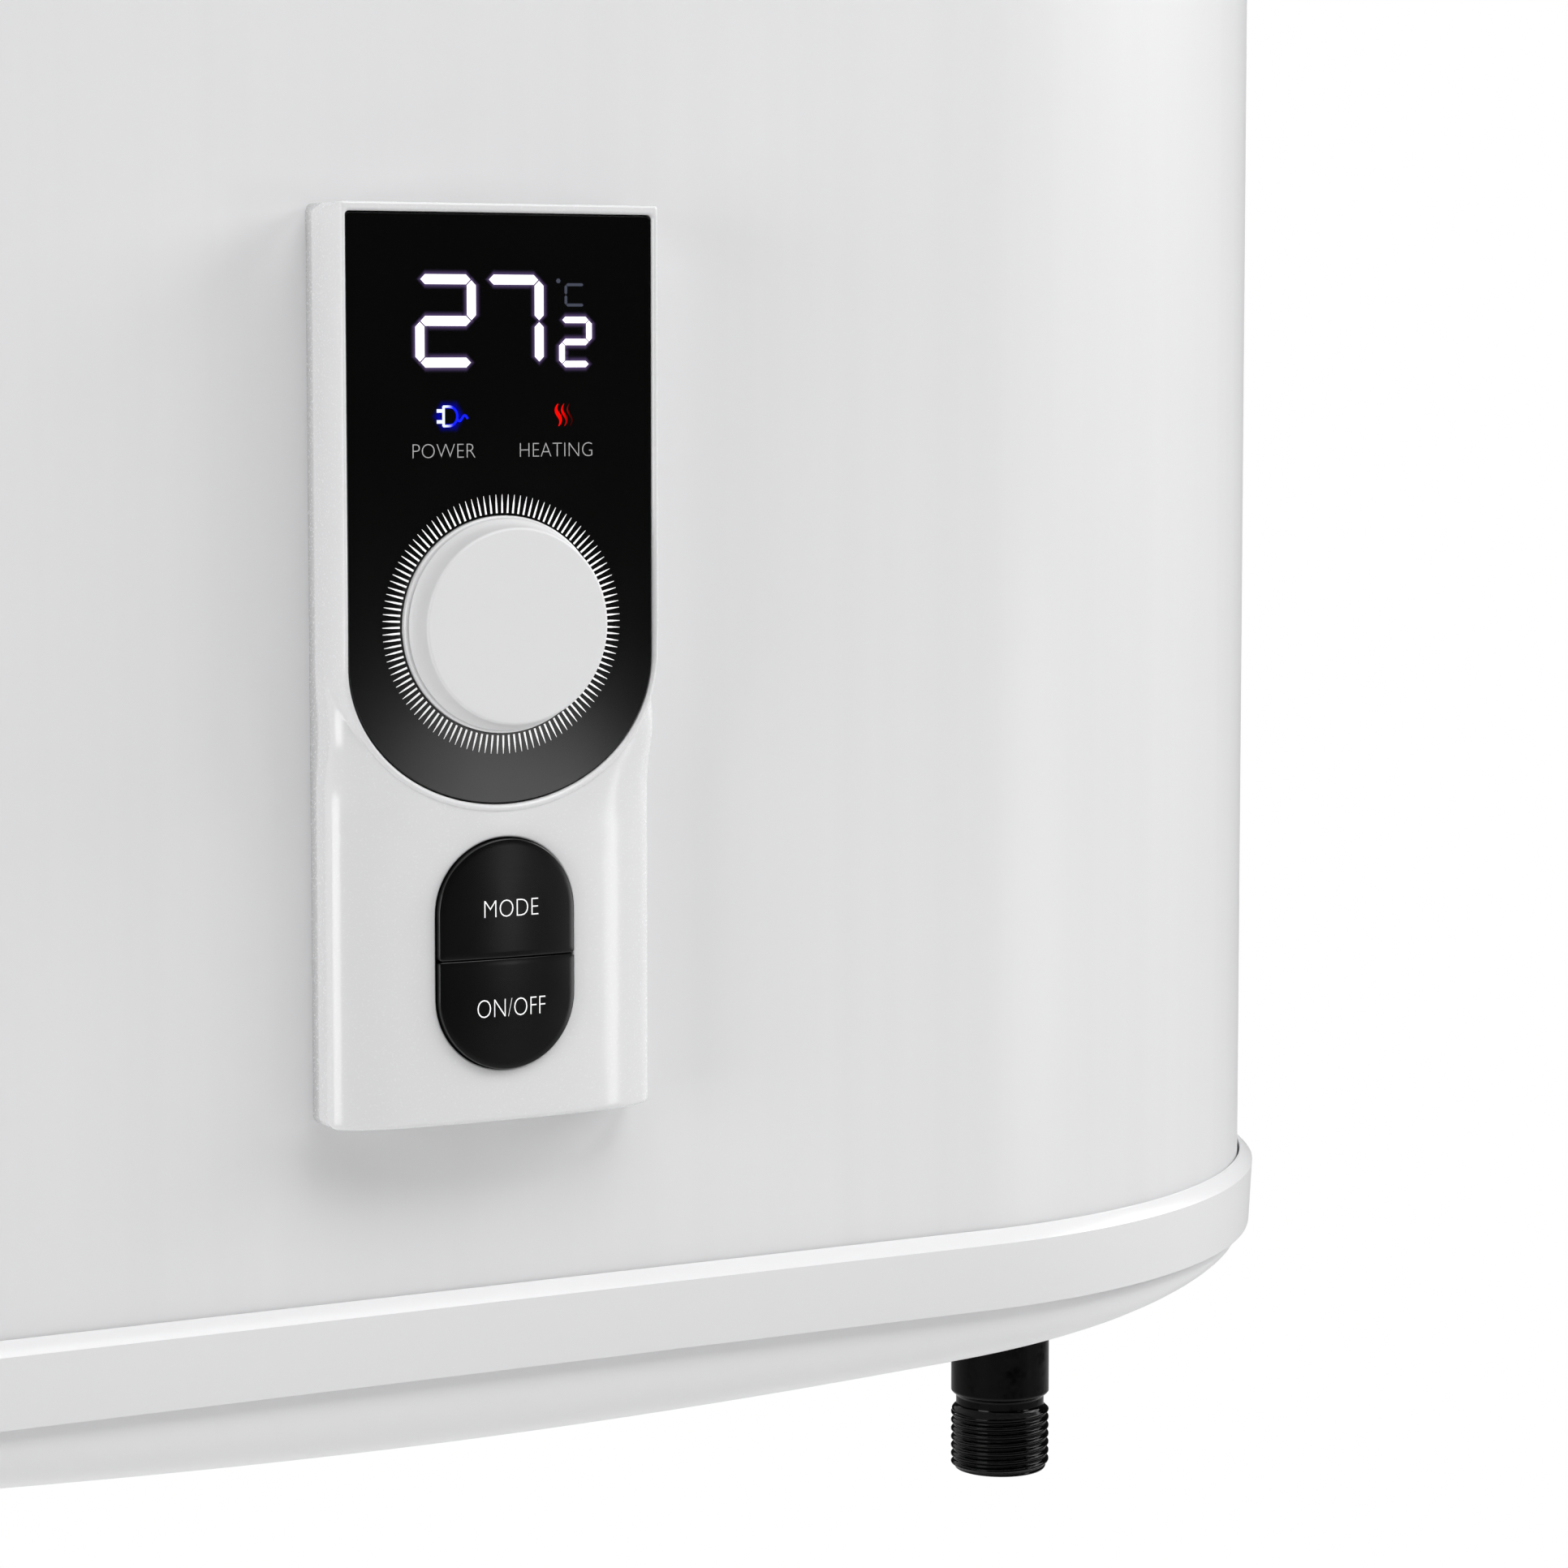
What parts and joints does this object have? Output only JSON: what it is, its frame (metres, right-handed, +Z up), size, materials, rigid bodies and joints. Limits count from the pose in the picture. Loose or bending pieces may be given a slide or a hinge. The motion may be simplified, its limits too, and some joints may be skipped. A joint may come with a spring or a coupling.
{
  "type": "tank water heater",
  "caption": "Flat white wall-hung electric storage water heater with a front control panel, round knob and keys, and threaded water connections below.",
  "frame": {"origin": "middle of the upper wall bracket's two slots, on the wall plane", "axes": "+Z up along the body, +Y into the wall, +X to the right seen from the front"},
  "size_m": [0.4424, 0.2821, 0.9193],
  "materials": {
    "casing_white": "satin",
    "cap_white": "satin",
    "panel_white": "gloss",
    "knob_white": "satin",
    "window_black": "polished",
    "key_black": "gloss",
    "nipple_black": "gloss",
    "zinc_steel": "satin",
    "tank_steel": "satin",
    "foam_cream": "matte",
    "gasket_black": "matte",
    "element_nickel": "satin",
    "anode_grey": "matte",
    "board_green": "satin",
    "part_black": "satin",
    "part_white": "satin",
    "reset_red": "gloss",
    "wire_grey": "satin"
  },
  "bodies": {
    "heater_body": {"back_panel": "casing_white", "board_screws": "zinc_steel", "bottom_cap": "cap_white", "bracket_nuts": "zinc_steel", "bracket_studs": "zinc_steel", "cable_gland": "part_black", "cap_screws": "zinc_steel", "casing_wrap": "casing_white", "cold_nipple": "nipple_black", "control_board": "board_green", "control_board_screws": "zinc_steel", "digit_display": "part_black", "display_window": "window_black", "earth_studs": "zinc_steel", "element_leads": "wire_grey", "encoder_body": "part_black", "encoder_nut": "zinc_steel", "flange_bolts": "zinc_steel", "foam_insulation": "foam_cream", "hot_nipple": "nipple_black", "hot_riser": "tank_steel", "icon_lights": "part_white", "inlet_diffuser": "part_white", "key_switches": "part_black", "knob_collar": "panel_white", "left_anode": "anode_grey", "left_flange": "zinc_steel", "left_gasket": "gasket_black", "left_heating_element": "element_nickel", "left_tank": "tank_steel", "light_guides": "part_white", "link_pipe": "tank_steel", "lower_bracket": "zinc_steel", "panel_base": "part_white", "panel_base_screws": "zinc_steel", "panel_harness": "wire_grey", "panel_housing": "panel_white", "power_board": "board_green", "relays": "part_black", "right_anode": "anode_grey", "right_flange": "zinc_steel", "right_gasket": "gasket_black", "right_heating_element": "element_nickel", "right_tank": "tank_steel", "seam_rivets": "zinc_steel", "sensor_pockets": "tank_steel", "terminal_block": "part_white", "thermal_cutout": "part_black", "top_cap": "cap_white", "transfer_riser": "tank_steel", "upper_bracket": "zinc_steel", "water_sensor": "part_white", "wire_grommet": "gasket_black"},
    "knob_dial": {"knob": "knob_white", "encoder_shaft": "tank_steel"},
    "mode_key": {"mode_button": "key_black", "mode_plunger": "part_black"},
    "onoff_key": {"onoff_button": "key_black", "onoff_plunger": "part_black"},
    "reset_pin": {"cutout_reset_button": "reset_red"}
  },
  "joints": [
    {"name": "knob_turn", "type": "hinge", "parent": "heater_body", "child": "knob_dial", "pos_m": [0, -0.2752, -0.5535], "axis": [0, -1, 0], "continuous": true},
    {"name": "mode_press", "type": "slide", "parent": "heater_body", "child": "mode_key", "axis": [0, 1, 0], "range_m": [0, 0.0005], "stiffness_N_per_m": 3000, "springref_m": -0.0005},
    {"name": "onoff_press", "type": "slide", "parent": "heater_body", "child": "onoff_key", "axis": [0, 1, 0], "range_m": [0, 0.0005], "stiffness_N_per_m": 3000, "springref_m": -0.0005},
    {"name": "cutout_reset", "type": "slide", "parent": "heater_body", "child": "reset_pin", "axis": [0, 0, 1], "range_m": [0, 0.0015], "stiffness_N_per_m": 1500, "springref_m": -0.001}
  ]
}
